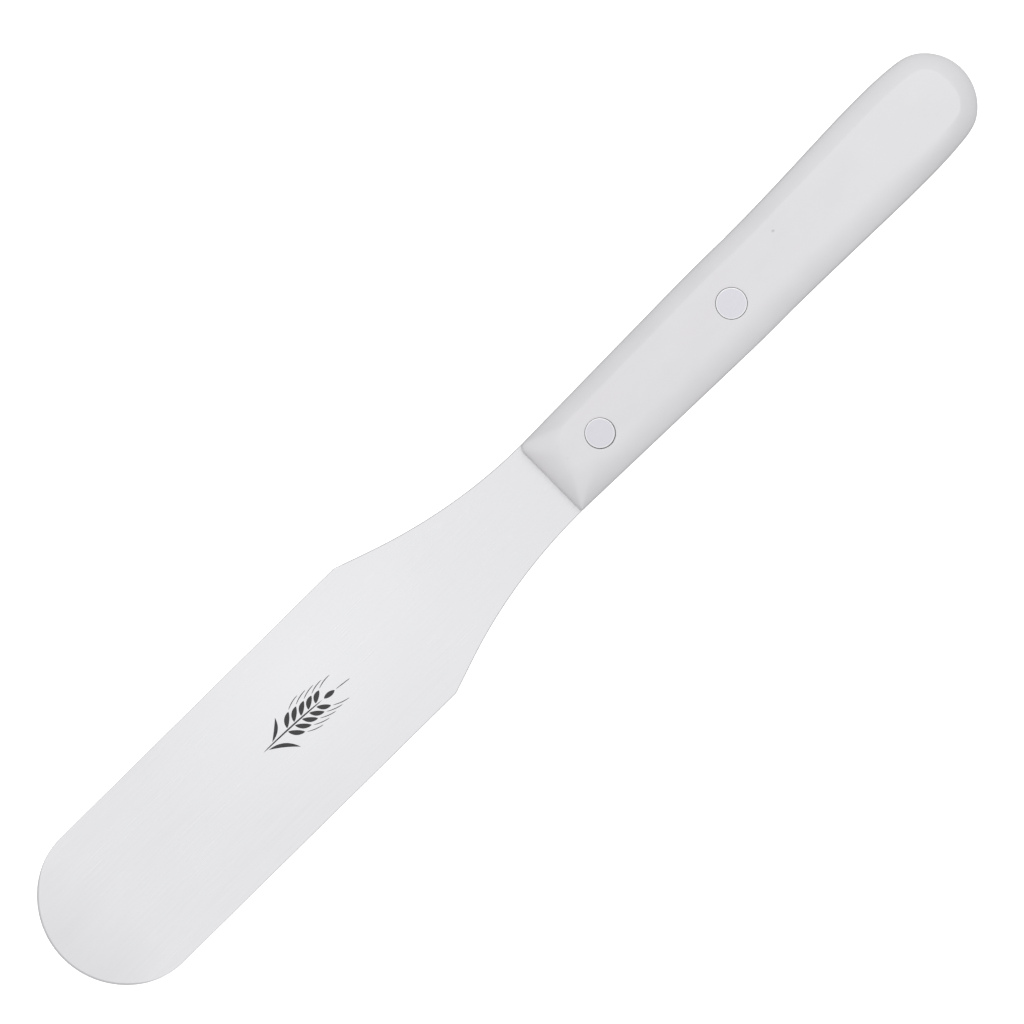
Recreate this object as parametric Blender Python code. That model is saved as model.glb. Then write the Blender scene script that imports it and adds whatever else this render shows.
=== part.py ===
"""Straight icing spatula: a taper-ground steel blade whose half tang is riveted into a slotted plastic handle.

Metres, +Z up. +X runs from the handle to the tip of the blade. The handle's flat underside is at Z = 0,
and X = 0 and Y = 0 are the middle of the whole spatula.
"""

import math

import bmesh
import bpy
from mathutils import Vector

# Lengths along X
BLADE_LENGTH = 0.1524  # from the handle's front face to the tip
HANDLE_LENGTH = 0.1298
TANG_LENGTH = 0.0660  # inside the handle, from its front face

TIP_X = (BLADE_LENGTH + HANDLE_LENGTH) / 2
FRONT_X = TIP_X - BLADE_LENGTH

# Blade outline
BLADE_HALF_WIDTH = 0.0195
NOSE_RADIUS = 0.0200  # the arc across the tip
NOSE_CORNER_RADIUS = 0.0175  # the two arcs that join it to the parallel sides
NECK_RADIUS = 0.1245  # the concave arcs on both sides of the neck
NECK_CURVE_LENGTH = 0.0405  # from the handle to where each arc runs on straight to its shoulder
NECK_HALF_WIDTH = 0.01005
SHOULDER_FILLET = 0.0016
TANG_INSET = 0.0001  # between the tang's edge and the handle's side wall

# Blade section
TANG_THICKNESS = 0.0009
TIP_THICKNESS = 0.0005
EDGE_BREAK = 0.00012  # the deburred edge all round the sheet

# Handle plan: distance behind the front face, half width there, and how fast it widens
HANDLE_STATIONS = (
    (0.0000, 0.01007, 0.020),
    (0.0480, 0.01105, 0.020),
    (0.0580, 0.01117, 0.000),
    (0.0670, 0.01108, 0.000),
    (0.0800, 0.01129, 0.026),
    (0.0980, 0.01184, 0.030),
    (0.1080, 0.01198, 0.000),
    (0.1186, 0.01150, -0.105),
    (0.1215, 0.01109, -0.250),
)
BUTT_RADIUS = 0.01205
BUTT_SWEEP = math.radians(54)  # from the middle of the round butt to where the side takes over

# Handle section
HANDLE_THICKNESS = 0.0140
SIDE_BAND = 0.0048  # width of the rolled edge, seen from above
FRONT_BAND = 0.0058
BUTT_BAND = 0.0046
BUTT_BAND_START = 0.0850  # distance behind the front face from which the band changes to BUTT_BAND
BAND_DROP = 0.0033  # from the flat face down to the upright wall
CREASE_LIFT = 0.0006  # how far the roll would fall over half its width, if it kept its first slope
TURNOVER = 0.0008  # height over which the roll turns into the wall

# Rivets: distance behind the handle's front face and radius of the heads, then the sizes that they share
RIVETS = {"front": (0.01515, 0.00335), "rear": (0.05615, 0.00350)}
RIVET_Y = 0.0007  # off the middle line
RIVET_RECESS = 0.00005
HEAD_THICKNESS = 0.0013
HEAD_CHAMFER = 0.0001
TUBE_RADIUS = 0.0024
PIN_RADIUS = 0.0015
GAP = 0.0003  # clearance between pieces that touch on the real object

MID_Z = HANDLE_THICKNESS / 2
CUT_MARGIN = 0.0010  # how far a cutter reaches past the face that it cuts
SLACK = 0.0001  # two places nearer to each other than this count as the same

# Fineness of the meshes
ARC_STEP = math.radians(4.5)
SIDE_STEPS = 34
ROLL_STEPS = 6
CIRCLE_STEPS = 48


def clear_scene():
    for old in list(bpy.data.objects):
        bpy.data.objects.remove(old, do_unlink=True)


def material(name, colour, roughness, metallic):
    """A plain Principled material; the colour is linear RGB."""
    made = bpy.data.materials.new(name)
    made.use_nodes = True
    made.diffuse_color = (*colour, 1.0)
    shader = made.node_tree.nodes["Principled BSDF"]
    shader.inputs["Base Color"].default_value = (*colour, 1.0)
    shader.inputs["Roughness"].default_value = roughness
    shader.inputs["Metallic"].default_value = metallic
    return made


def blade_steel():
    return material("blade_steel", (0.78, 0.78, 0.80), 0.35, 1.0)


def handle_plastic():
    return material("handle_plastic", (0.74, 0.73, 0.75), 0.42, 0.0)


def rivet_steel():
    return material("rivet_steel", (0.71, 0.70, 0.75), 0.38, 1.0)


def arc(centre, radius, start, end):
    """Points on an arc in the XY plane, both ends included."""
    steps = max(2, math.ceil(abs(end - start) / ARC_STEP))
    angles = [start + (end - start) * i / steps for i in range(steps + 1)]
    middle = Vector(centre)
    return [middle + radius * Vector((math.cos(a), math.sin(a))) for a in angles]


def fillet(before, corner, after, radius):
    """The arc that rounds a corner; it starts towards before and ends towards after."""
    to_before = (before - corner).normalized()
    to_after = (after - corner).normalized()
    half = to_before.angle(to_after) / 2
    centre = corner + (to_before + to_after).normalized() * radius / math.sin(half)
    spoke = corner + to_before * radius / math.tan(half) - centre
    start = math.atan2(spoke.y, spoke.x)
    turn = math.copysign(math.pi - 2 * half, to_after.cross(to_before))
    return arc(centre, radius, start, start + turn)


def mirrored(side):
    """The -Y copy of a +Y side, in reverse order and without a point on the middle line."""
    return [Vector((p.x, -p.y)) for p in reversed(side) if p.y > SLACK]


def inset(outline, distance):
    """The outline moved inwards by the same distance everywhere. It runs clockwise, seen from above."""
    moved = []
    for i, here in enumerate(outline):
        arriving = (here - outline[i - 1]).normalized()
        leaving = (outline[(i + 1) % len(outline)] - here).normalized()
        along = (arriving + leaving).normalized()
        inwards = Vector((along.y, -along.x))
        moved.append(here + inwards * distance / along.dot(arriving))
    return moved


def stack(rings):
    """A closed bmesh from rings of equal length, lowest first. Each ring is its points and its height."""
    bm = bmesh.new()
    levels = [[bm.verts.new((p.x, p.y, z)) for p in points] for points, z in rings]
    for low, high in zip(levels, levels[1:]):
        for i in range(len(low)):
            bm.faces.new((low[i - 1], low[i], high[i], high[i - 1]))
    bm.faces.new(levels[0])
    bm.faces.new(levels[-1])
    bmesh.ops.recalc_face_normals(bm, faces=bm.faces)
    return bm


def turned(profile):
    """A closed bmesh of revolution about Z, from (radius, height) points that start and end on the axis."""
    bm = bmesh.new()
    verts = [bm.verts.new((radius, 0.0, height)) for radius, height in profile]
    edges = [bm.edges.new(pair) for pair in zip(verts, verts[1:])]
    turn = {"cent": (0, 0, 0), "axis": (0, 0, 1), "angle": math.tau, "steps": CIRCLE_STEPS}
    bmesh.ops.spin(bm, geom=verts + edges, use_merge=True, **turn)
    bmesh.ops.remove_doubles(bm, verts=bm.verts, dist=1e-6)
    bmesh.ops.recalc_face_normals(bm, faces=bm.faces)
    return bm


def add_object(name, bm, place, finish=None):
    mesh = bpy.data.meshes.new(name)
    bm.to_mesh(mesh)
    bm.free()
    mesh.shade_smooth()
    mesh.set_sharp_from_angle(angle=math.radians(30))
    if finish:
        mesh.materials.append(finish)
    made = bpy.data.objects.new(name, mesh)
    made.location = place
    bpy.context.scene.collection.objects.link(made)
    return made


def add_cutter(name, bm, place):
    made = add_object(name, bm, place)
    made.hide_render = True
    made.display_type = "WIRE"
    return made


def cut(target, cutter):
    modifier = target.modifiers.new(cutter.name, "BOOLEAN")
    modifier.operation = "DIFFERENCE"
    modifier.object = cutter


def butt_join():
    """Where the handle's side meets its round butt: distance behind the front, half width, widening."""
    distance = HANDLE_LENGTH - BUTT_RADIUS + BUTT_RADIUS * math.cos(BUTT_SWEEP)
    return distance, BUTT_RADIUS * math.sin(BUTT_SWEEP), -1 / math.tan(BUTT_SWEEP)


def handle_half_width(distance):
    """Half width of the handle's plan at a distance behind the front face, as a cubic between stations."""
    stations = [*HANDLE_STATIONS, butt_join()]
    later = next(i for i in range(1, len(stations)) if distance <= stations[i][0] + SLACK)
    (x0, w0, s0), (x1, w1, s1) = stations[later - 1 : later + 1]
    run = x1 - x0
    t = (distance - x0) / run
    ends = w0 * (1 + 2 * t) * (1 - t) ** 2 + w1 * t**2 * (3 - 2 * t)
    slopes = s0 * t * (1 - t) ** 2 - s1 * t**2 * (1 - t)
    return ends + run * slopes


def band_width(distance):
    """Width of the rolled edge along the side; it grows smoothly towards the butt."""
    t = (distance - BUTT_BAND_START) / (butt_join()[0] - BUTT_BAND_START)
    t = min(1.0, max(0.0, t))
    return SIDE_BAND + (BUTT_BAND - SIDE_BAND) * t * t * (3 - 2 * t)


def handle_outline(share):
    """The handle's plan, drawn in by that share of the rolled edge's width. The front corners are mitred."""
    front = share * FRONT_BAND
    join = butt_join()[0]
    side = []
    for i in range(SIDE_STEPS):
        distance = front + (join - front) * i / SIDE_STEPS
        inwards = share * band_width(distance)
        side.append(Vector((FRONT_X - distance, handle_half_width(distance) - inwards)))
    centre = (FRONT_X - HANDLE_LENGTH + BUTT_RADIUS, 0.0)
    butt = arc(centre, BUTT_RADIUS - share * BUTT_BAND, math.pi - BUTT_SWEEP, math.pi)
    half = side + butt[:-1]
    outline = half + [butt[-1]] + mirrored(half)
    return outline[::-1]


def roll_profile():
    """The rolled edge as a Bezier arc, from the flat face to the wall: (share of its width, depth)."""
    turn_depth = BAND_DROP - TURNOVER
    points = []
    for i in range(ROLL_STEPS + 1):
        t = i / ROLL_STEPS
        start, leaving, arriving, end = (1 - t) ** 3, 3 * t * (1 - t) ** 2, 3 * t**2 * (1 - t), t**3
        points.append((start + leaving / 2, leaving * CREASE_LIFT + arriving * turn_depth + end * BAND_DROP))
    return points


def blade_outline():
    """The sheet's outline, clockwise from the rear of the tang."""
    tang = []
    for i in range(SIDE_STEPS // 2):
        distance = TANG_LENGTH * (1 - 2 * i / SIDE_STEPS)
        tang.append(Vector((FRONT_X - distance, handle_half_width(distance) - TANG_INSET)))

    centre_y = NECK_HALF_WIDTH + NECK_RADIUS
    sweep = math.asin(NECK_CURVE_LENGTH / NECK_RADIUS)
    neck = arc((FRONT_X, centre_y), NECK_RADIUS, -math.pi / 2, sweep - math.pi / 2)
    climb = BLADE_HALF_WIDTH - neck[-1].y
    shoulder = neck[-1] + Vector((climb / math.tan(sweep), climb))
    ahead = shoulder + Vector((BLADE_HALF_WIDTH, 0))
    rounded = fillet(neck[-1], shoulder, ahead, SHOULDER_FILLET)

    rise = BLADE_HALF_WIDTH - NOSE_CORNER_RADIUS
    run = math.sqrt((NOSE_RADIUS - NOSE_CORNER_RADIUS) ** 2 - rise**2)
    joint = math.atan2(rise, run)
    nose_x = TIP_X - NOSE_RADIUS
    corner = arc((nose_x + run, rise), NOSE_CORNER_RADIUS, math.pi / 2, joint)
    nose = arc((nose_x, 0.0), NOSE_RADIUS, joint, 0.0)

    side = tang + neck + rounded + corner + nose[1:]
    return side + mirrored(side), shoulder.x


def add_blade(bores):
    """The sheet, thinning evenly from the shoulders to the tip, with a broken edge all round."""
    outline, shoulder_x = blade_outline()
    edge = inset(outline, EDGE_BREAK)
    half = TANG_THICKNESS / 2
    wall = half - EDGE_BREAK
    bm = stack([(edge, -half), (outline, -wall), (outline, wall), (edge, half)])
    geometry = bm.verts[:] + bm.edges[:] + bm.faces[:]
    bmesh.ops.bisect_plane(bm, geom=geometry, plane_co=(shoulder_x, 0, 0), plane_no=(1, 0, 0))
    for vert in bm.verts:
        share = max(0.0, (vert.co.x - shoulder_x) / (TIP_X - shoulder_x))
        vert.co.z *= 1 - share * (1 - TIP_THICKNESS / TANG_THICKNESS)
    blade = add_object("blade", bm, (0, 0, MID_Z), blade_steel())
    for bore in bores:
        cut(blade, bore)


def add_slot():
    """The cutter for the handle's slot, which is open at the front and at both sides."""
    front = FRONT_X + CUT_MARGIN
    rear = FRONT_X - TANG_LENGTH - GAP
    side = BLADE_HALF_WIDTH
    half = TANG_THICKNESS / 2 + GAP
    corners = [Vector(p) for p in ((rear, side), (front, side), (front, -side), (rear, -side))]
    return add_cutter("slot_cutter", stack([(corners, -half), (corners, half)]), (0, 0, MID_Z))


def add_handle(cutters):
    """The moulded body: the roll of the lower edge, the upright wall and the roll of the upper edge."""
    roll = [(handle_outline(share), depth) for share, depth in roll_profile()]
    upper = [(outline, HANDLE_THICKNESS - depth) for outline, depth in reversed(roll)]
    handle = add_object("handle", stack(roll + upper), (0, 0, 0), handle_plastic())
    for cutter in cutters:
        cut(handle, cutter)


def rivet_place(setback):
    return FRONT_X - setback, RIVET_Y, MID_Z


def add_bore(name, setback, head_radius):
    """The cutter for one rivet: the hole through handle and tang, and a counterbore for each head."""
    floor = MID_Z - RIVET_RECESS - HEAD_THICKNESS - GAP
    top = MID_Z + CUT_MARGIN
    head = head_radius + GAP
    tube = TUBE_RADIUS + GAP
    lower = [(0, -top), (head, -top), (head, -floor), (tube, -floor)]
    upper = [(radius, -height) for radius, height in reversed(lower)]
    return add_cutter(f"{name}_bore_cutter", turned(lower + upper), rivet_place(setback))


def head_profile(radius, face):
    """The head of a rivet half, from the axis over its rim to its inner side."""
    return [
        (0, face),
        (radius - HEAD_CHAMFER, face),
        (radius, face - HEAD_CHAMFER),
        (radius, face - HEAD_THICKNESS),
    ]


def add_rivet(name, setback, head_radius, finish):
    """Both halves of a cutlery rivet: a headed tube from above and a headed pin from below."""
    face = MID_Z - RIVET_RECESS
    inner = face - HEAD_THICKNESS
    bore = PIN_RADIUS + GAP
    tube_end = GAP - inner
    tube = [(TUBE_RADIUS, inner), (TUBE_RADIUS, tube_end), (bore, tube_end), (bore, inner), (0, inner)]
    pin = [(PIN_RADIUS, inner), (PIN_RADIUS, GAP - inner), (0, GAP - inner)]
    head = head_profile(head_radius, face)
    place = rivet_place(setback)
    add_object(f"{name}_rivet_female", turned(head + tube), place, finish)
    male = add_object(f"{name}_rivet_male", turned(head + pin), place, finish)
    male.rotation_euler.x = math.pi


def main():
    clear_scene()
    bores = [add_bore(name, setback, radius) for name, (setback, radius) in RIVETS.items()]
    add_blade(bores)
    add_handle([add_slot(), *bores])
    finish = rivet_steel()
    for name, (setback, radius) in RIVETS.items():
        add_rivet(name, setback, radius, finish)


main()
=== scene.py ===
"""Looks of the straight icing spatula: brushed steel blade, off-white moulded handle and flush rivets.

Metres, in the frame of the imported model: +X from the handle to the tip of the blade, +Z up, and the
handle's flat underside at Z = 0.
"""

import math

import bmesh
import bpy
from mathutils import Matrix, Vector


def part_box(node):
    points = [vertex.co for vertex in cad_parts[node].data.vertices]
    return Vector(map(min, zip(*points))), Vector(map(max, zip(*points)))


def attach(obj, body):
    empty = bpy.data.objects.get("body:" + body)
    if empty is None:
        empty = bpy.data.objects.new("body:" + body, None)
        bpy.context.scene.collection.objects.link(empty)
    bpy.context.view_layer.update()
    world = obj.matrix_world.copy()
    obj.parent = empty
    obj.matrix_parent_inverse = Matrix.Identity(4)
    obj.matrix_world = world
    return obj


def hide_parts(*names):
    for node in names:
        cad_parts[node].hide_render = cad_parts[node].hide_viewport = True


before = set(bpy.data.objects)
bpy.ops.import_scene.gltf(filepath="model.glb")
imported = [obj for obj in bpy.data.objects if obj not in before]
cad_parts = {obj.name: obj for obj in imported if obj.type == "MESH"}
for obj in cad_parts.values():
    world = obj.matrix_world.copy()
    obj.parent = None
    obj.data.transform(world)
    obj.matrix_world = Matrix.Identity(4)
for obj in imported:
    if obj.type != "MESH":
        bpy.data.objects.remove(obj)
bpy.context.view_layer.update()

# The frame's own places
BLADE_LOW, BLADE_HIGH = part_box("blade")
HANDLE_LOW, HANDLE_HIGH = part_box("handle")
TIP_X = BLADE_HIGH.x
FRONT_X = HANDLE_HIGH.x
HANDLE_LENGTH = HANDLE_HIGH.x - HANDLE_LOW.x
HANDLE_THICKNESS = HANDLE_HIGH.z - HANDLE_LOW.z
TANG_LENGTH = FRONT_X - BLADE_LOW.x
BLADE_HALF_WIDTH = BLADE_HIGH.y
TANG_THICKNESS = BLADE_HIGH.z - BLADE_LOW.z
MID_Z = (HANDLE_HIGH.z + HANDLE_LOW.z) / 2

# Blade outline and taper
NOSE_RADIUS = 0.0200
NOSE_CORNER_RADIUS = 0.0175
NECK_RADIUS = 0.1245
NECK_CURVE_LENGTH = 0.0405
NECK_HALF_WIDTH = 0.01005
SHOULDER_FILLET = 0.0016
TANG_INSET = 0.0001
TIP_THICKNESS = 0.0005

# Blade edge: how wide the broken edge is, and how much of the half thickness it takes
SIDE_EDGE = (0.00014, 0.25)
NECK_EDGE = (0.00014, 0.35)
NOSE_EDGE = (0.00050, 0.93)
NECK_TO_SIDE = 0.002  # the neck's edge turns into the side's over this much on both sides of the shoulder
SIDE_TO_NOSE = (0.0135, 0.0055)  # the side's turns into the nose's between these distances from the tip
EDGE_SUPPORT = 0.00006  # width of the narrow row of faces inside the edge
# The edge's section: inwards as a share of its width, inwards in supports, and fall as a share of its height
EDGE_SECTION = (
    (1, 1, 0),
    (1, 0, 0),
    (0.70, 0, 0.24),
    (0.25, 0, 0.70),
    (0.05, 0, 0.93),
    (0, 0, 1.0),
)

# Handle plan: distance behind the front face, half width there, and how fast it widens
HANDLE_STATIONS = (
    (0.0000, 0.01007, 0.020),
    (0.0480, 0.01105, 0.020),
    (0.0580, 0.01117, 0.000),
    (0.0670, 0.01108, 0.000),
    (0.0800, 0.01129, 0.026),
    (0.0980, 0.01184, 0.030),
    (0.1080, 0.01198, 0.000),
    (0.1186, 0.01150, -0.105),
    (0.1215, 0.01109, -0.250),
)
BUTT_RADIUS = 0.01205
BUTT_SWEEP = math.radians(54)
STATION_SLACK = 0.0001  # a distance this far past a station still counts as before it
CORNER_RADII = {1: 0.0006, -1: 0.0017}  # of the front corners in plan, at +Y and at -Y
CORNER_GROWTH = 0.0040  # how much larger they are at the edge of the flat face
PROBE = 0.00001  # run over which the slope of the plan is taken

# The neck and the handle wander off the middle line: how far in Y, and from where to where behind the front
WANDERS = ((0.00023, -0.0400, 0.0000), (-0.00059, 0.0660, 0.1280))

# Handle section. The +Y edge was buffed over a wider band than the -Y edge, which kept its crease
SIDE_BANDS = {1: 0.0060, -1: 0.00375}
FRONT_BAND = 0.0058
# Width of each side's band near the butt, and from where to where behind the front it changes to that
REAR_BANDS = {1: (0.0042, 0.0900, 0.1240), -1: (0.0041, 0.0780, 0.1000)}
BUTT_BAND = 0.0046
BUTT_WIDENING = (0.25, 1.0)  # the stretch of the butt's arc, as shares of it, over which the band widens
BAND_DROP = 0.0033
CREASE_LIFT = 0.00095  # how far the roll falls over its first half, if it kept its first slope
SOFT_LIFT = 0.00025  # the same where the edge was buffed
TURNOVER = 0.0008  # height over which the roll turns into the wall
SOFT_ACROSS = (-0.0075, 0.0010)  # Y between which the crease gives way to the soft start
CREASED_BUTT = (0.0060, 0.0160)  # the butt keeps its crease: from its end, fully and not at all
# By what share the roll deepens, and from where to where behind the front; at the rear on the +Y side only
DEEPER_FRONT = (0.22, 0.0140, 0.0040)
DEEPER_REAR = (0.20, 0.0940, 0.1090)
DRAFT = 0.00022  # how far the walls lean out down to the parting line at mid height
PARTING_RIDGE = (0.00003, 0.00010)  # its height and half width
FACE_SUPPORT = 1.04  # the narrow row of faces inside the roll ends at this share of the roll's width
SLOT_CLEARANCE = 0.00006
SLOT_BLOCK = 0.1  # length and width of the block that cuts the slot
BORE_CLEARANCE = 0.00014

# Rivets: how far each head sits towards -Y in its counterbore, and the gap around it
HEAD_FITS = {"front": (0.00008, 0.00014), "rear": (0.0, 0.00010)}
HEAD_THICKNESS = 0.0013
HEAD_EDGE = 0.00010
BORE_RIM = 0.00008
BORE_MARGIN = 0.001  # how far the cutter reaches past the handle's faces
TUBE_RADIUS = 0.0024
PIN_RADIUS = 0.0015
RIVET_RECESS = 0.00005

# Etched mark: an ear of wheat that lies along the blade, its awns towards the handle
MARK_START = (0.0884, -0.0012)  # foot of its stalk: ahead of the handle, and across
MARK_BOW = 0.0016
MARK_LENGTH = 0.0250
MARK_RISE = 0.000012
MARK_DEPTH = 0.00003
STALK_LENGTH = 0.0070
GRAIN_PAIRS = 5
GRAIN_PITCH = 0.0021
GRAIN_SIZE = (0.0038, 0.00115)
GRAIN_LEAN = 43  # degrees off the stalk for the first pair, and how much less for each later pair
GRAIN_LEAN_STEP = 2.0
GRAIN_SHRINK = 0.04  # share of its length that each later pair loses
GRAIN_SPACE = 0.00034  # between a grain and the middle line, and between a grain and its awn
GRAIN_STAGGER = 0.0004
GRAIN_BEND = 0.00022
AWN_SIZE = (0.0040, 0.00019)
AWN_TURN = 0.42  # an awn's lean as a share of its grain's
STALK_WIDTH = 0.00036
PLUMP = 0.8  # how a stroke's width falls off towards its ends: the lower, the blunter
BLUNT = 0.4
LEAVES = (  # foot, lean in degrees, length and width, and bow
    ((0.0014, 0.00035), 38, (0.0072, 0.00095), -0.0007),
    ((0.0032, -0.00035), -40, (0.0056, 0.00085), 0.0005),
)

# A mark of use, and the places of a painted reflection and of painted light
SPECK_PLACE = (FRONT_X - 0.0740, -0.0043, HANDLE_HIGH.z)
REFLECTION_PLACE = (FRONT_X + 0.0715, -0.0080, MID_Z)  # the middle of the blade's painted reflection, its brightest stretch
LIT_PLACE = (HANDLE_LOW.x, HANDLE_LOW.y, 0)  # the corner of the butt where painted light makes the plastic whitest

# Fineness of the meshes
ARC_STEP = math.radians(1.5)
SIDE_STEPS = 110
TANG_STEPS = 30
NECK_STEPS = 34
RUN_STEPS = 7  # along the straight run up to a shoulder
STRAIGHT_STEPS = 40
ACROSS = 14
ROLL_STEPS = 18
CORNER_STEPS = 8
CIRCLE_STEPS = 128
STROKE_STEPS = 12


# ---------------------------------------------------------------- outlines

def arc(centre, radius, start, end, steps=None):
    """Points on an arc in the XY plane, both ends included."""
    steps = steps or max(2, math.ceil(abs(end - start) / ARC_STEP))
    angles = [start + (end - start) * i / steps for i in range(steps + 1)]
    middle = Vector(centre)
    return [middle + radius * Vector((math.cos(a), math.sin(a))) for a in angles]


def fillet(before, corner, after, radius, steps):
    """The arc that rounds a corner; it starts towards before and ends towards after."""
    to_before = (before - corner).normalized()
    to_after = (after - corner).normalized()
    half = to_before.angle(to_after) / 2
    centre = corner + (to_before + to_after).normalized() * radius / math.sin(half)
    spoke = corner + to_before * radius / math.tan(half) - centre
    start = math.atan2(spoke.y, spoke.x)
    turn = math.copysign(math.pi - 2 * half, to_after.cross(to_before))
    return arc(centre, radius, start, start + turn, steps)


def smooth(low, high, value):
    """Rises smoothly from 0 at low to 1 at high."""
    t = min(1.0, max(0.0, (value - low) / (high - low)))
    return t * t * (3 - 2 * t)


def wander(x):
    """How far off the middle line the piece runs at x."""
    return sum(shift * smooth(start, end, FRONT_X - x) for shift, start, end in WANDERS)


def butt_join():
    """Where the handle's side meets its round butt: distance behind the front, half width, widening."""
    distance = HANDLE_LENGTH - BUTT_RADIUS + BUTT_RADIUS * math.cos(BUTT_SWEEP)
    return distance, BUTT_RADIUS * math.sin(BUTT_SWEEP), -1 / math.tan(BUTT_SWEEP)


def handle_half_width(distance):
    """Half width of the handle's plan at a distance behind the front face, as a cubic between stations."""
    stations = [*HANDLE_STATIONS, butt_join()]
    later = next(i for i in range(1, len(stations)) if distance <= stations[i][0] + STATION_SLACK)
    (x0, w0, s0), (x1, w1, s1) = stations[later - 1 : later + 1]
    run = x1 - x0
    t = (distance - x0) / run
    ends = w0 * (1 + 2 * t) * (1 - t) ** 2 + w1 * t**2 * (3 - 2 * t)
    slopes = s0 * t * (1 - t) ** 2 - s1 * t**2 * (1 - t)
    return ends + run * slopes


def handle_side(share, hand):
    """One side of the handle's plan, drawn in by that share of its roll. hand is 1 at +Y and -1 at -Y."""
    join = butt_join()[0]
    front = share * FRONT_BAND
    radius = CORNER_RADII[hand] + max(0.0, share) * CORNER_GROWTH
    side_band = SIDE_BANDS[hand]
    rear_band, *change = REAR_BANDS[hand]

    def side_point(distance):
        band = side_band + (rear_band - side_band) * smooth(*change, distance)
        half_width = handle_half_width(distance)
        narrowing = max(0.0, (handle_half_width(distance - PROBE) - half_width) / PROBE)
        inwards = Vector((narrowing, -1)).normalized()
        return Vector((FRONT_X - distance, half_width)) + share * band * inwards

    start = front + radius
    side = [side_point(start + (join - start) * i / SIDE_STEPS) for i in range(1, SIDE_STEPS)]
    corner = side_point(front)
    inner = Vector((corner.x, 0.0))
    centre = Vector((FRONT_X - HANDLE_LENGTH + BUTT_RADIUS, 0.0))
    spokes = arc((0, 0), 1.0, math.pi - BUTT_SWEEP, math.pi)
    butt = []
    for i, spoke in enumerate(spokes):
        band = rear_band + (BUTT_BAND - rear_band) * smooth(*BUTT_WIDENING, i / (len(spokes) - 1))
        butt.append(centre + spoke * (BUTT_RADIUS - share * band))
    points = fillet(inner, corner, side[0], radius, CORNER_STEPS) + side + butt
    return [Vector((p.x, hand * p.y)) for p in points]


def blade_side():
    """The +Y side of the sheet, from the rear of the tang to the tip, and where its shoulder is."""
    tang = []
    for i in range(TANG_STEPS):
        distance = TANG_LENGTH * (1 - i / TANG_STEPS)
        tang.append(Vector((FRONT_X - distance, handle_half_width(distance) - TANG_INSET)))

    centre_y = NECK_HALF_WIDTH + NECK_RADIUS
    sweep = math.asin(NECK_CURVE_LENGTH / NECK_RADIUS)
    neck = arc((FRONT_X, centre_y), NECK_RADIUS, -math.pi / 2, sweep - math.pi / 2, NECK_STEPS)
    climb = BLADE_HALF_WIDTH - neck[-1].y
    shoulder = neck[-1] + Vector((climb / math.tan(sweep), climb))
    neck += [neck[-1].lerp(shoulder, i / RUN_STEPS) for i in range(1, RUN_STEPS)]
    ahead = shoulder + Vector((BLADE_HALF_WIDTH, 0))
    rounded = fillet(neck[-1], shoulder, ahead, SHOULDER_FILLET, CORNER_STEPS)

    rise = BLADE_HALF_WIDTH - NOSE_CORNER_RADIUS
    run = math.sqrt((NOSE_RADIUS - NOSE_CORNER_RADIUS) ** 2 - rise**2)
    joint = math.atan2(rise, run)
    nose_x = TIP_X - NOSE_RADIUS
    corner = arc((nose_x + run, rise), NOSE_CORNER_RADIUS, math.pi / 2, joint)
    nose = arc((nose_x, 0.0), NOSE_RADIUS, joint, 0.0)
    start_x, run_x = rounded[-1].x, corner[0].x - rounded[-1].x
    steps = range(1, STRAIGHT_STEPS)
    straight = [Vector((start_x + run_x * i / STRAIGHT_STEPS, BLADE_HALF_WIDTH)) for i in steps]
    return tang + neck + rounded + straight + corner + nose[1:], shoulder.x


def inset_side(side, widths):
    """A side moved inwards, by a width for each point. Its ends slide along the end line and the axis."""
    moved = []
    for i, (here, width) in enumerate(zip(side, widths)):
        if i == len(side) - 1:
            moved.append(here - Vector((width, 0)))
            continue
        leaving = (side[i + 1] - here).normalized()
        arriving = (here - side[i - 1]).normalized() if i else Vector((0, 1))
        along = (arriving + leaving).normalized()
        inwards = Vector((along.y, -along.x))
        moved.append(here + inwards * width / along.dot(arriving))
    return moved


# ---------------------------------------------------------------- meshes

def mirrored(side):
    return [Vector((p.x, -p.y)) for p in side]


def whole_ring(left, right):
    """A closed outline: the +Y side, the -Y side back again, and the straight line between their starts."""
    steps = [k / ACROSS for k in range(1, ACROSS)]
    return left + right[-2::-1] + [right[0].lerp(left[0], share) for share in steps]


def grid_cap(bm, ring, side_count):
    """Closes a ring with rows of quads from side to side, and a fan at the far point."""
    last = side_count - 1
    first_row = [ring[0], *reversed(ring[2 * last + 1 :]), ring[2 * last]]
    rows = [first_row]
    for i in range(1, last):
        left, right = ring[i], ring[2 * last - i]
        inner = [bm.verts.new(left.co.lerp(right.co, k / ACROSS)) for k in range(1, ACROSS)]
        rows.append([left, *inner, right])
    for near, far in zip(rows, rows[1:]):
        for k in range(ACROSS):
            bm.faces.new((near[k], near[k + 1], far[k + 1], far[k]))
    for k in range(ACROSS):
        bm.faces.new((rows[-1][k], rows[-1][k + 1], ring[last]))


def stack(sides, height_of):
    """A closed bmesh from rings given as pairs of sides, lowest first. height_of(level, point) gives Z."""
    bm = bmesh.new()
    levels = []
    for level, (left, right) in enumerate(sides):
        ring = whole_ring(left, right)
        levels.append([bm.verts.new((p.x, p.y + wander(p.x), height_of(level, p))) for p in ring])
    for low, high in zip(levels, levels[1:]):
        for i in range(len(low)):
            bm.faces.new((low[i - 1], low[i], high[i], high[i - 1]))
    grid_cap(bm, levels[0], len(sides[0][0]))
    grid_cap(bm, levels[-1], len(sides[0][0]))
    bmesh.ops.recalc_face_normals(bm, faces=bm.faces)
    return bm


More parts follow.
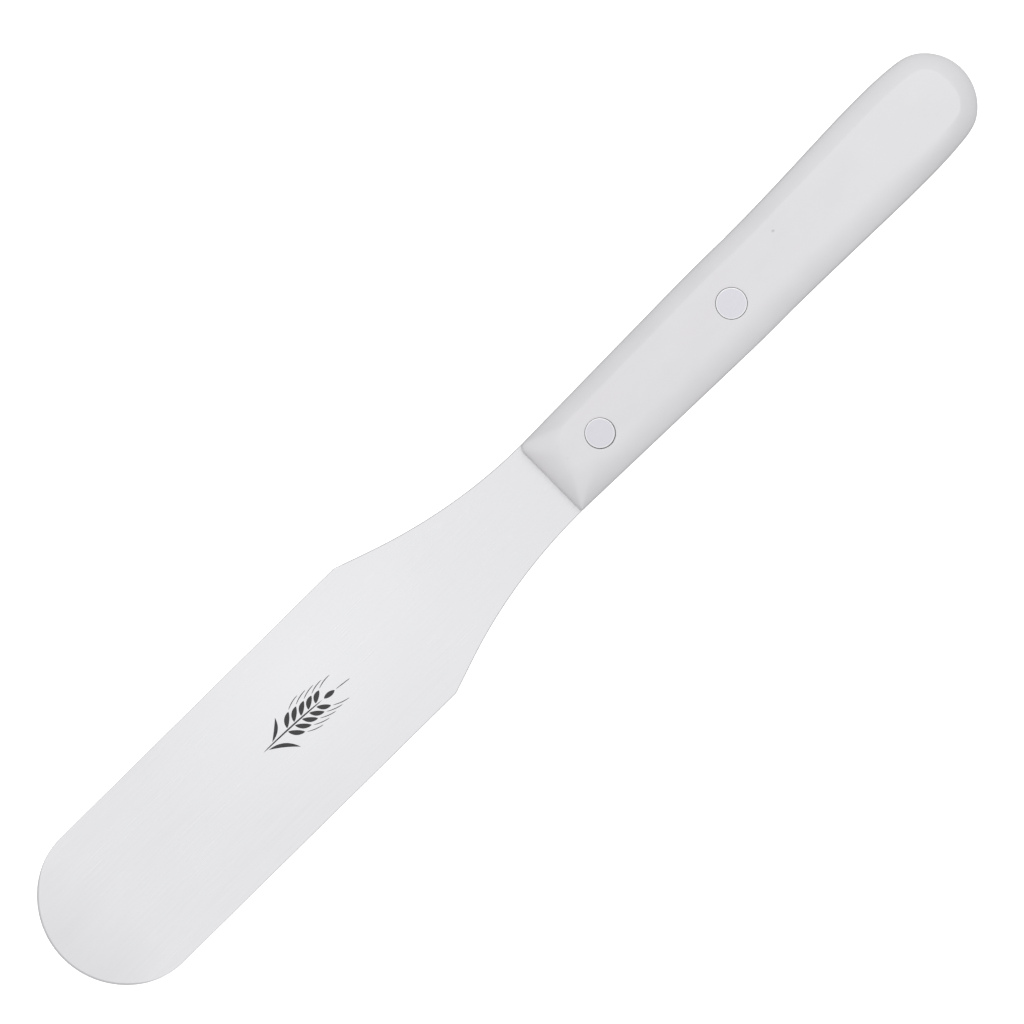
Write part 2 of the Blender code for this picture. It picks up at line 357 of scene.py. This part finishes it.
def turned(profile):
    """A closed bmesh of revolution about Z, from (radius, height) points that start and end on the axis."""
    bm = bmesh.new()
    verts = [bm.verts.new((radius, 0.0, height)) for radius, height in profile]
    edges = [bm.edges.new(pair) for pair in zip(verts, verts[1:])]
    turn = {"cent": (0, 0, 0), "axis": (0, 0, 1), "angle": math.tau, "steps": CIRCLE_STEPS}
    bmesh.ops.spin(bm, geom=verts + edges, use_merge=True, **turn)
    bmesh.ops.remove_doubles(bm, verts=bm.verts, dist=1e-7)
    bmesh.ops.recalc_face_normals(bm, faces=bm.faces)
    return bm


def new_object(name, bm, place=(0.0, 0.0, 0.0)):
    """A linked object whose place is in its mesh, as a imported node's is."""
    mesh = bpy.data.meshes.new(name)
    bm.transform(Matrix.Translation(place))
    bm.to_mesh(mesh)
    bm.free()
    made = bpy.data.objects.new(name, mesh)
    bpy.context.scene.collection.objects.link(made)
    return made


def subtract(target, cutters):
    """Cuts the cutters out of the target, and removes them."""
    for cutter in cutters:
        modifier = target.modifiers.new("cut", "BOOLEAN")
        modifier.operation = "DIFFERENCE"
        modifier.object = cutter
    evaluated = target.evaluated_get(bpy.context.evaluated_depsgraph_get())
    mesh = bpy.data.meshes.new_from_object(evaluated)
    target.modifiers.clear()
    mesh.name = target.name
    target.data = mesh
    for cutter in cutters:
        bpy.data.objects.remove(cutter, do_unlink=True)


def shade(target, angle):
    target.data.shade_smooth()
    target.data.set_sharp_from_angle(angle=math.radians(angle))


def present(target, finish, slot, *nodes):
    """Gives a finished piece its material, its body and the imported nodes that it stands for."""
    target.data.materials.clear()
    target.data.materials.append(finish)
    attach(target, "root")
    if nodes:
        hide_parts(*nodes)


# ---------------------------------------------------------------- blade

def blade_half_thickness(x, shoulder_x):
    share = max(0.0, (x - shoulder_x) / (TIP_X - shoulder_x))
    return (TANG_THICKNESS - share * (TANG_THICKNESS - TIP_THICKNESS)) / 2


def blade_edge(x, shoulder_x):
    """Width of the broken edge at x, and the share of the half thickness that it takes."""
    ahead = smooth(shoulder_x - NECK_TO_SIDE, shoulder_x + NECK_TO_SIDE, x)
    nose = smooth(*(TIP_X - distance for distance in SIDE_TO_NOSE), x)
    values = []
    for neck, side, tip in zip(NECK_EDGE, SIDE_EDGE, NOSE_EDGE):
        value = neck + (side - neck) * ahead
        values.append(value + (tip - value) * nose)
    return values


def make_blade(finish, bores):
    """The sheet, thinning evenly from the shoulders to the tip, with a broken edge all round."""
    side, shoulder_x = blade_side()
    edges = [blade_edge(p.x, shoulder_x) for p in side]
    section = [*EDGE_SECTION, (0, 0, None), *reversed(EDGE_SECTION)]
    sides = []
    for share, supports, _ in section:
        left = inset_side(side, [share * width + supports * EDGE_SUPPORT for width, _ in edges])
        sides.append((left, mirrored(left)))

    def height(level, point):
        fall = section[level][2]
        if fall is None:
            return MID_Z
        up = math.copysign(1, level - len(section) / 2)
        share = 1 - fall * blade_edge(point.x, shoulder_x)[1]
        return MID_Z + up * share * blade_half_thickness(point.x, shoulder_x)

    blade = new_object("blade_sheet", stack(sides, height))
    subtract(blade, bores)
    shade(blade, 40)
    present(blade, finish, "blade_steel", "blade")
    return shoulder_x


def stroke(start, heading, size, fullness=1.0, bend=0.0):
    """Both sides of a stroke with pointed ends, as lists of points. bend bows it sideways."""
    length, width = size
    along = Vector((math.cos(heading), math.sin(heading)))
    across = Vector((-along.y, along.x))
    sides = ([], [])
    for i in range(STROKE_STEPS + 1):
        t = i / STROKE_STEPS
        bulge = 4 * t * (1 - t)
        middle = Vector(start) + along * length * t + across * bend * bulge
        half = width / 2 * bulge**fullness
        sides[0].append(middle + across * half)
        sides[1].append(middle - across * half)
    return sides


def wheat_ear():
    """The strokes of the mark. X runs from the foot of the stalk towards the awns."""
    ear_start = STALK_LENGTH + GRAIN_SPACE
    ear_length = GRAIN_PITCH * GRAIN_PAIRS
    strokes = [stroke((0, 0), 0, (ear_start + ear_length, STALK_WIDTH), BLUNT)]
    for (x, y), lean, size, bend in LEAVES:
        strokes.append(stroke((x, y), math.radians(lean), size, 1.0, bend))

    def grain_and_awn(foot, heading, length, bend):
        along = Vector((math.cos(heading), math.sin(heading)))
        strokes.append(stroke(foot, heading, (length, GRAIN_SIZE[1]), PLUMP, bend))
        tip = foot + (length + GRAIN_SPACE) * along
        strokes.append(stroke(tip, heading * AWN_TURN, AWN_SIZE, BLUNT, bend))

    for i in range(GRAIN_PAIRS):
        lean = math.radians(GRAIN_LEAN - GRAIN_LEAN_STEP * i)
        length = GRAIN_SIZE[0] * (1 - GRAIN_SHRINK * i)
        for hand in (1, -1):
            lag = GRAIN_STAGGER if hand < 0 else 0.0
            foot = Vector((ear_start + GRAIN_PITCH * i + lag, hand * GRAIN_SPACE))
            grain_and_awn(foot, hand * lean, length, hand * GRAIN_BEND)
    top = Vector((ear_start + ear_length + GRAIN_STAGGER, 0))
    grain_and_awn(top, 0.0, GRAIN_SIZE[0] * (1 - GRAIN_SHRINK * GRAIN_PAIRS), 0.0)
    return strokes


def make_mark(finish, shoulder_x):
    """The mark. Each stroke is a thin closed solid, set into the top of the blade and barely proud of it."""
    bm = bmesh.new()

    def place(point, lift):
        x = FRONT_X + MARK_START[0] - point.x
        y = MARK_START[1] + point.y + MARK_BOW * (point.x / MARK_LENGTH) ** 2
        return bm.verts.new((x, y, MID_Z + blade_half_thickness(x, shoulder_x) + lift))

    for left, right in wheat_ear():
        outline = left + right[-2:0:-1]
        low = [place(p, -MARK_DEPTH) for p in outline]
        high = [place(p, MARK_RISE) for p in outline]
        count = len(outline)
        for i in range(count):
            bm.faces.new((low[i - 1], low[i], high[i], high[i - 1]))
        for ring in (low, high):
            for i in range(STROKE_STEPS):
                corners = [ring[i], ring[i + 1], ring[(count - i - 1) % count], ring[(count - i) % count]]
                bm.faces.new(list(dict.fromkeys(corners)))
    bmesh.ops.recalc_face_normals(bm, faces=bm.faces)
    mark = new_object("etched_wheat_ear", bm)
    present(mark, finish, "etched_mark")


# ---------------------------------------------------------------- handle

def handle_levels():
    """The lower half of the section: (share of the band, lean, weight of the lift, depth without it)."""
    levels = [(FACE_SUPPORT, DRAFT, 0.0, 0.0)]
    turn = BAND_DROP - TURNOVER
    for i in range(ROLL_STEPS + 1):
        t = i / ROLL_STEPS
        start, leaving, arriving, end = (1 - t) ** 3, 3 * t * (1 - t) ** 2, 3 * t**2 * (1 - t), t**3
        levels.append((start + leaving / 2, DRAFT, leaving, arriving * turn + end * BAND_DROP))
    middle = HANDLE_THICKNESS / 2
    ridge, half = PARTING_RIDGE
    levels.append((0.0, DRAFT / 2, 0.0, (BAND_DROP + middle) / 2))
    levels.append((0.0, 0.0, 0.0, middle - 1.5 * half))
    levels.append((0.0, -ridge * 0.7, 0.0, middle - half * 0.5))
    return levels


def softness(point):
    """1 where the roll starts softly, 0 where it starts at a crease."""
    end, start = (HANDLE_LOW.x + distance for distance in CREASED_BUTT)
    return smooth(*SOFT_ACROSS, point.y) * smooth(end, start, point.x)


def deepening(point):
    """How many times its usual depth the roll has at that point."""
    behind = FRONT_X - point.x
    front, rear = (share * smooth(start, end, behind) for share, start, end in (DEEPER_FRONT, DEEPER_REAR))
    return 1 + front + rear * smooth(-BUTT_RADIUS / 2, BUTT_RADIUS / 2, point.y)


def make_handle(finish, bores):
    """The moulded body: flat faces, rolled edges, leaning walls, and the slot that takes the tang."""
    lower = handle_levels()
    middle = (0.0, -PARTING_RIDGE[0], 0.0, HANDLE_THICKNESS / 2)
    levels = [*lower, middle, *reversed(lower)]
    sides = []
    for share, lean, _, _ in levels:
        pair = []
        for hand in (1, -1):
            side = handle_side(share, hand)
            inwards = inset_side([Vector((-p.x, hand * p.y)) for p in side], [lean] * len(side))
            pair.append([Vector((-p.x, hand * p.y)) for p in inwards])
        sides.append(pair)

    def height(level, point):
        _, _, lifted, depth = levels[level]
        soft = softness(point)
        depth += lifted * (CREASE_LIFT + (SOFT_LIFT - CREASE_LIFT) * soft)
        if depth <= BAND_DROP:
            depth *= deepening(point)
        if level <= len(lower):
            return HANDLE_LOW.z + depth
        return HANDLE_HIGH.z - depth

    handle = new_object("handle_body", stack(sides, height))
    half = TANG_THICKNESS / 2 + SLOT_CLEARANCE
    rear = FRONT_X - TANG_LENGTH - SLOT_CLEARANCE
    bm = bmesh.new()
    bmesh.ops.create_cube(bm, size=1.0)
    bm.transform(Matrix.Diagonal((SLOT_BLOCK, SLOT_BLOCK, 2 * half, 1)))
    slot = new_object("slot", bm, (rear + SLOT_BLOCK / 2, 0, MID_Z))
    subtract(handle, [slot, *bores])
    shade(handle, 30)
    present(handle, finish, "handle_plastic", "handle")


# ---------------------------------------------------------------- rivets

def rivet_place(name):
    """Where the frame has a rivet, and the radius of its heads."""
    low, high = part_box(f"{name}_rivet_female")
    return ((low.x + high.x) / 2, (low.y + high.y) / 2, MID_Z), (high.x - low.x) / 2


def make_bore(name):
    """The cutter for one rivet: a hole right through, and a counterbore with a softened rim at each end."""
    (x, y, z), head_radius = rivet_place(name)
    shift, gap = HEAD_FITS[name]
    face = HANDLE_THICKNESS / 2
    top = face + BORE_MARGIN
    floor = face - RIVET_RECESS - HEAD_THICKNESS
    head = head_radius + gap
    shank = TUBE_RADIUS + BORE_CLEARANCE
    lower = [
        (0, -top),
        (head + BORE_RIM + top - face, -top),
        (head + BORE_RIM, -face),
        (head + BORE_RIM * 0.3, BORE_RIM * 0.3 - face),
        (head, BORE_RIM - face),
        (head, -floor),
        (shank, -floor),
    ]
    upper = [(radius, -height) for radius, height in reversed(lower)]
    return new_object(f"{name}_bore", turned(lower + upper), (x, y + shift, z))


def head_profile(radius, face):
    """A rivet head from its middle over its softened edge to its inner side."""
    bend = [math.radians(90) * i / 4 for i in range(5)]
    edge = [(radius - HEAD_EDGE * (1 - math.sin(a)), face - HEAD_EDGE * (1 - math.cos(a))) for a in bend]
    return [(0, face), (radius - HEAD_EDGE * 1.5, face), *edge, (radius, face - HEAD_THICKNESS)]


def make_rivet(name, finish):
    """Both halves of a rivet: a headed tube from above, and a headed pin from below that fills it."""
    place, head_radius = rivet_place(name)
    face = HANDLE_THICKNESS / 2 - RIVET_RECESS
    inner = face - HEAD_THICKNESS
    wall = PIN_RADIUS + SLOT_CLEARANCE
    end = SLOT_CLEARANCE - inner
    tube = [(TUBE_RADIUS, inner), (TUBE_RADIUS, end), (wall, end), (wall, inner), (0, inner)]
    pin = [(PIN_RADIUS, inner), (PIN_RADIUS, end), (0, end)]
    for half, shank in (("female", tube), ("male", pin)):
        bm = turned(head_profile(head_radius, face) + shank)
        if half == "male":
            bm.transform(Matrix.Rotation(math.pi, 4, "X"))
        rivet = new_object(f"{name}_rivet_{half}_half", bm, place)
        shade(rivet, 30)
        present(rivet, finish, "rivet_steel", f"{name}_rivet_{half}")


# ---------------------------------------------------------------- materials

def new_material(name):
    made = bpy.data.materials.new(name)
    made.use_nodes = True
    tree = made.node_tree
    return made, tree, tree.nodes["Principled BSDF"]


def add(tree, kind, values=None, **settings):
    """A node of that kind, with its settings and its unlinked input values."""
    node = tree.nodes.new(kind)
    for key, value in settings.items():
        setattr(node, key, value)
    for key, value in (values or {}).items():
        node.inputs[key].default_value = value
    return node


def stretched_noise(tree, cell, detail=3.0, rough=0.55, turn=0.0):
    """Noise whose cells are as long as cell says along each axis, in metres, turned about Z by turn."""
    place = add(tree, "ShaderNodeTexCoord")
    source = place.outputs["Object"]
    if turn:
        spin = add(tree, "ShaderNodeMapping", {"Rotation": (0, 0, turn)})
        tree.links.new(source, spin.inputs["Vector"])
        source = spin.outputs["Vector"]
    stretch = add(tree, "ShaderNodeMapping", {"Scale": tuple(1 / s for s in cell)})
    noise = add(tree, "ShaderNodeTexNoise", {"Scale": 1.0, "Detail": detail, "Roughness": rough})
    tree.links.new(source, stretch.inputs["Vector"])
    tree.links.new(stretch.outputs["Vector"], noise.inputs["Vector"])
    return noise.outputs["Fac"]


def distance_from(tree, point, scale=(1.0, 1.0, 1.0)):
    """Distance from a place on the object, with each axis counted scale times."""
    place = add(tree, "ShaderNodeTexCoord")
    stretch = add(tree, "ShaderNodeMapping", {"Scale": scale})
    far = add(tree, "ShaderNodeVectorMath", operation="DISTANCE")
    far.inputs[1].default_value = tuple(p * s for p, s in zip(point, scale))
    tree.links.new(place.outputs["Object"], stretch.inputs["Vector"])
    tree.links.new(stretch.outputs["Vector"], far.inputs[0])
    return far.outputs["Value"]


def spread(tree, value, low, high, to_low, to_high):
    """value from low..high to to_low..to_high, clamped."""
    node = add(
        tree, "ShaderNodeMapRange", {"From Min": low, "From Max": high, "To Min": to_low, "To Max": to_high}
    )
    tree.links.new(value, node.inputs["Value"])
    return node.outputs["Result"]


def combine(tree, operation, first, second):
    """A Math node of two values, each of them a socket or a number."""
    node = add(tree, "ShaderNodeMath", operation=operation)
    for socket, value in zip(node.inputs, (first, second)):
        if isinstance(value, (int, float)):
            socket.default_value = value
        else:
            tree.links.new(value, socket)
    return node.outputs[0]


def total(tree, *weighted):
    """The sum of values, each times its weight."""
    parts = [combine(tree, "MULTIPLY", value, weight) for value, weight in weighted]
    result = parts[0]
    for part in parts[1:]:
        result = combine(tree, "ADD", result, part)
    return result


def tinted(tree, value, dark, light):
    """A colour between dark and light, by value. Each of them is a colour or a socket."""
    node = add(tree, "ShaderNodeMix", data_type="RGBA")
    for socket, colour in ((node.inputs[6], dark), (node.inputs[7], light)):
        if isinstance(colour, tuple):
            socket.default_value = (*colour, 1)
        else:
            tree.links.new(colour, socket)
    tree.links.new(value, node.inputs[0])
    return node.outputs[2]


def bumped(tree, shader, height, distance):
    node = add(tree, "ShaderNodeBump", {"Strength": 1.0, "Distance": distance})
    tree.links.new(height, node.inputs["Height"])
    tree.links.new(node.outputs["Normal"], shader.inputs["Normal"])


# Cells of the noises, in metres along X, Y and Z
BLADE_FINE = (0.0060, 0.00014, 0.00014)
BLADE_MEDIUM = (0.0140, 0.00055, 0.00055)
BLADE_PATCHES = (0.0300, 0.0090, 0.0090)
RIVET_FINE = (0.0022, 0.00011, 0.00011)
RIVET_PATCHES = (0.0018, 0.0009, 0.0009)
MOTTLE = (0.0130, 0.0070, 0.0070)
WARM_CLOUDS = (0.0170, 0.0080, 0.0060)
SPECK_EDGE = (0.0004, 0.0004, 0.0004)
SKIN = (0.00045, 0.00045, 0.00045)
RUB_MARKS = (0.0200, 0.0012, 0.0012)
PITS = (0.00012, 0.00012, 0.00012)
# Hairline scratches: cells of their noise, its turn about Z, and between which values a scratch fades in
LENGTHWISE = ((0.0120, 0.00010, 0.00010), 0.05, 0.72, 0.78)
CROSSWISE = ((0.0110, 0.00009, 0.00009), 1.9, 0.77, 0.82)
# The values between which most of a noise lies, for colours and for roughness
COLOUR_RANGE = (0.36, 0.64)
ROUGH_RANGE = (0.3, 0.7)

# Linear colours, as pairs from dark to light or one by one
BRUSHED = ((0.755, 0.755, 0.772), (0.792, 0.792, 0.808))
SCRATCHED = (0.69, 0.69, 0.71)
# painted reflection, lighter than the brushed steel
PAINTED_REFLECTION = (0.83, 0.83, 0.85)
# painted shade, at the tip and in front of the handle
PAINTED_SHADE = (0.685, 0.685, 0.705)
RIVET_FACE = ((0.637, 0.627, 0.678), (0.674, 0.666, 0.711))
# painted highlight on the rivet heads' rims
RIM_HIGHLIGHT = (0.82, 0.82, 0.83)
COOL_WHITE = ((0.772, 0.772, 0.791), (0.795, 0.792, 0.812))
WARM_WHITE = (0.795, 0.772, 0.795)
# painted light, whiter towards the butt
LIT_WHITE = (0.845, 0.840, 0.855)
SPECK = (0.42, 0.42, 0.46)
ETCHING = ((0.026, 0.026, 0.028), (0.052, 0.052, 0.056))

# Distances over which a finish changes: the painted shade at the tip, where the tip also gets rougher, the
# painted reflection on the blade, the painted shade in front of the handle, the painted light at the butt,
# the speck, and the rivet rims' painted highlight and polish
TIP_SHADE_AND_DULLING = (0.010, 0.026)
REFLECTION_REACH = 0.040
HANDLE_SHADE_REACH = 0.040
LIT_REACH = (0.010, 0.080)
SPECK_RADIUS = (0.00038, 0.00058)
RIM_START = (0.905, 0.945)  # as shares of the rivet's radius, where the rim's painted highlight and polish start


def hairlines(tree, cell, turn, faint, full):
    return spread(tree, stretched_noise(tree, cell, 1.0, 0.5, turn), faint, full, 0, 1)


def blade_steel():
    """Satin stainless steel, brushed along X, with scratches, a painted reflection that brightens its
    middle, and painted shade at the tip and in front of the handle; the tip is also a little rougher.
    """
    made, tree, shader = new_material("blade_steel")
    fine = stretched_noise(tree, BLADE_FINE, 4.0)
    medium = stretched_noise(tree, BLADE_MEDIUM, 3.0)
    patches = stretched_noise(tree, BLADE_PATCHES, 2.0)
    grain = total(tree, (fine, 0.45), (medium, 0.35), (patches, 0.20))
    brushed = tinted(tree, spread(tree, grain, *COLOUR_RANGE, 0, 1), *BRUSHED)

    scratches = combine(tree, "MAXIMUM", hairlines(tree, *LENGTHWISE), hairlines(tree, *CROSSWISE))
    scratched = tinted(tree, combine(tree, "MULTIPLY", scratches, 0.5), brushed, SCRATCHED)

    # Painted shade: the colour darkens towards the tip, and the same mask also makes the tip rougher
    tip = distance_from(tree, (TIP_X, 0, MID_Z), (1.0, 0.62, 1.0))
    uneven = combine(tree, "ADD", tip, combine(tree, "MULTIPLY", patches, 0.014))
    tip_shade_and_dulling = combine(tree, "MULTIPLY", spread(tree, uneven, *TIP_SHADE_AND_DULLING, 1, 0), 0.55)
    # Painted reflection: the colour is lighter around a place on the blade's middle, off towards -Y
    from_middle = distance_from(tree, REFLECTION_PLACE, (1.0, 1.6, 1.0))
    bright = tinted(tree, spread(tree, from_middle, 0.0, REFLECTION_REACH, 0.75, 0), scratched, PAINTED_REFLECTION)
    # Painted shade: the colour darkens towards the handle's front, where the handle stands over the blade
    from_handle = distance_from(tree, (FRONT_X, 0, MID_Z), (1.0, 0, 0))
    handle_shade = spread(tree, from_handle, 0.0, HANDLE_SHADE_REACH, 0.45, 0)
    shaded = tinted(tree, combine(tree, "MAXIMUM", tip_shade_and_dulling, handle_shade), bright, PAINTED_SHADE)
    tree.links.new(shaded, shader.inputs["Base Color"])

    satin = spread(tree, grain, *ROUGH_RANGE, 0.38, 0.24)
    roughness = total(tree, (satin, 1.0), (scratches, 0.08), (tip_shade_and_dulling, 0.06))
    tree.links.new(roughness, shader.inputs["Roughness"])
    shader.inputs["Metallic"].default_value = 1.0
    bumped(tree, shader, total(tree, (grain, 1.0), (scratches, -0.6)), 0.000010)
    return made


def rivet_steel():
    """Ground rivet steel: brushed along X like the blade, with a polished rim that carries a painted
    highlight.
    """
    made, tree, shader = new_material("rivet_steel")
    fine = stretched_noise(tree, RIVET_FINE, 4.0)
    patches = stretched_noise(tree, RIVET_PATCHES, 2.0)
    grain = total(tree, (fine, 0.6), (patches, 0.4))
    face = tinted(tree, spread(tree, grain, *COLOUR_RANGE, 0, 1), *RIVET_FACE)

    place = add(tree, "ShaderNodeTexCoord")
    flat = add(tree, "ShaderNodeMapping", {"Scale": (2, 2, 0), "Location": (-1, -1, 0)})
    out = add(tree, "ShaderNodeVectorMath", operation="LENGTH")
    tree.links.new(place.outputs["Generated"], flat.inputs["Vector"])
    tree.links.new(flat.outputs["Vector"], out.inputs[0])
    # Painted highlight: the colour is lighter on the head's outer rim, which is also made smoother
    rim = spread(tree, out.outputs["Value"], *RIM_START, 0, 1)
    tree.links.new(tinted(tree, rim, face, RIM_HIGHLIGHT), shader.inputs["Base Color"])

    satin = spread(tree, grain, *ROUGH_RANGE, 0.36, 0.26)
    tree.links.new(total(tree, (satin, 1.0), (rim, -0.08)), shader.inputs["Roughness"])
    shader.inputs["Metallic"].default_value = 1.0
    bumped(tree, shader, grain, 0.000006)
    return made


def handle_plastic():
    """Off-white moulded plastic: a faint cloudy mottle, painted light that whitens it towards a corner of
    the butt, a fine satin skin, rub marks and a dark speck.
    """
    made, tree, shader = new_material("handle_plastic")
    mottle = stretched_noise(tree, MOTTLE, 2.0)
    warmth = stretched_noise(tree, WARM_CLOUDS, 1.0)
    cool = tinted(tree, spread(tree, mottle, 0.35, 0.65, 0, 1), *COOL_WHITE)
    cloudy = tinted(tree, spread(tree, warmth, 0.42, 0.66, 0, 0.55), cool, WARM_WHITE)
    # Painted light: the plastic whitens towards the butt's -Y corner
    from_corner = distance_from(tree, LIT_PLACE, (1.0, 2.0, 0))
    rear = tinted(tree, spread(tree, from_corner, *LIT_REACH, 0.55, 0), cloudy, LIT_WHITE)

    ragged = stretched_noise(tree, SPECK_EDGE, 2.0)
    far = distance_from(tree, SPECK_PLACE, (0.8, 1.0, 1.0))
    edge = combine(tree, "ADD", far, combine(tree, "MULTIPLY", ragged, 0.0004))
    speck = combine(tree, "MULTIPLY", spread(tree, edge, *SPECK_RADIUS, 1, 0), 0.5)
    tree.links.new(tinted(tree, speck, rear, SPECK), shader.inputs["Base Color"])

    skin = stretched_noise(tree, SKIN, 3.0)
    rubbed = stretched_noise(tree, RUB_MARKS, 3.0)
    roughness = total(tree, (spread(tree, skin, *ROUGH_RANGE, 0.24, 0.30), 1.0), (rubbed, 0.28))
    tree.links.new(roughness, shader.inputs["Roughness"])
    bumped(tree, shader, total(tree, (skin, 1.0), (rubbed, 0.6)), 0.000006)
    return made


def etched_mark():
    """Dark grey etching, with the brushed grain of the blade faintly through it."""
    made, tree, shader = new_material("etched_mark")
    grain = stretched_noise(tree, BLADE_FINE, 3.0)
    pits = stretched_noise(tree, PITS, 2.0)
    depth = total(tree, (grain, 0.5), (pits, 0.5))
    colour = tinted(tree, spread(tree, depth, *COLOUR_RANGE, 0, 1), *ETCHING)
    tree.links.new(colour, shader.inputs["Base Color"])
    tree.links.new(spread(tree, depth, *ROUGH_RANGE, 0.52, 0.66), shader.inputs["Roughness"])
    shader.inputs["Metallic"].default_value = 0.0
    bumped(tree, shader, depth, 0.000004)
    return made


# ---------------------------------------------------------------- studio

CAMERA_PLACE = (-0.00025, -0.00053, MID_Z + 1.2697)
CAMERA_TURN = math.radians(135.4)
CAMERA_LENS = 200
CAMERA_SENSOR = 36
FLOOR_DROP = 0.0003  # below the handle's underside
FLOOR_HALF_SIZE = 3.0
FLOOR_ALBEDO = 0.55
HORIZON_LIGHT = 0.25
ZENITH_LIGHT = 1.0
ZENITH_FROM = 0.9  # sine of the height from which the sky is as bright as overhead
SOFTBOX_OUT = 0.62  # from the middle, towards the top of the camera's picture
SOFTBOX_HEIGHT = 1.1
SOFTBOX_SIZE = (1.1, 0.7)
SOFTBOX_POWER = 2.4


def camera_only(tree):
    """1 for what the camera sees directly, 0 for light that falls on the object."""
    return add(tree, "ShaderNodeLightPath").outputs["Is Camera Ray"]


def make_floor():
    """A plain white floor just under the handle. It shows from above only."""
    bm = bmesh.new()
    bmesh.ops.create_grid(bm, x_segments=1, y_segments=1, size=FLOOR_HALF_SIZE)
    floor = new_object("floor", bm, (0, 0, HANDLE_LOW.z - FLOOR_DROP))
    made, tree, shader = new_material("floor_white")
    shader.inputs["Base Color"].default_value = (*(FLOOR_ALBEDO,) * 3, 1)
    shader.inputs["Roughness"].default_value = 0.8
    shader.inputs["Emission Color"].default_value = (1, 1, 1, 1)
    tree.links.new(camera_only(tree), shader.inputs["Emission Strength"])
    clear = add(tree, "ShaderNodeBsdfTransparent")
    side = add(tree, "ShaderNodeNewGeometry")
    either = add(tree, "ShaderNodeMixShader")
    tree.links.new(side.outputs["Backfacing"], either.inputs[0])
    tree.links.new(shader.outputs[0], either.inputs[1])
    tree.links.new(clear.outputs[0], either.inputs[2])
    tree.links.new(either.outputs[0], tree.nodes["Material Output"].inputs["Surface"])
    floor.data.materials.append(made)


def make_world():
    """A pale studio: bright overhead, dimmer towards the horizon, and plain white behind the object."""
    world = bpy.data.worlds.new("studio")
    bpy.context.scene.world = world
    world.use_nodes = True
    tree = world.node_tree
    place = add(tree, "ShaderNodeTexCoord")
    split = add(tree, "ShaderNodeSeparateXYZ")
    tree.links.new(place.outputs["Generated"], split.inputs[0])
    level = spread(tree, split.outputs["Z"], 0.0, ZENITH_FROM, 0.0, 1.0)
    glow = tinted(tree, level, (HORIZON_LIGHT,) * 3, (ZENITH_LIGHT,) * 3)
    seen = tinted(tree, camera_only(tree), glow, (1.0, 1.0, 1.0))
    tree.links.new(seen, tree.nodes["Background"].inputs["Color"])


def make_softbox():
    up = Vector((-math.sin(CAMERA_TURN), math.cos(CAMERA_TURN), 0))
    light = bpy.data.lights.new("softbox", "AREA")
    light.shape = "RECTANGLE"
    light.size, light.size_y = SOFTBOX_SIZE
    light.energy = SOFTBOX_POWER
    box = bpy.data.objects.new("softbox", light)
    box.location = up * SOFTBOX_OUT + Vector((0, 0, SOFTBOX_HEIGHT))
    box.rotation_euler = (-box.location).to_track_quat("-Z", "Y").to_euler()
    bpy.context.scene.collection.objects.link(box)


def make_camera():
    camera = bpy.data.objects.new("camera", bpy.data.cameras.new("camera"))
    camera.data.lens = CAMERA_LENS
    camera.data.sensor_width = CAMERA_SENSOR
    camera.location = CAMERA_PLACE
    camera.rotation_euler = (0, 0, CAMERA_TURN)
    bpy.context.scene.collection.objects.link(camera)
    bpy.context.scene.camera = camera


def main():
    bpy.context.scene.view_settings.view_transform = "Standard"
    make_camera()
    make_world()
    make_softbox()
    make_floor()
    rivet_finish = rivet_steel()
    for name in HEAD_FITS:
        make_rivet(name, rivet_finish)
    shoulder_x = make_blade(blade_steel(), [make_bore(name) for name in HEAD_FITS])
    make_mark(etched_mark(), shoulder_x)
    make_handle(handle_plastic(), [make_bore(name) for name in HEAD_FITS])


main()
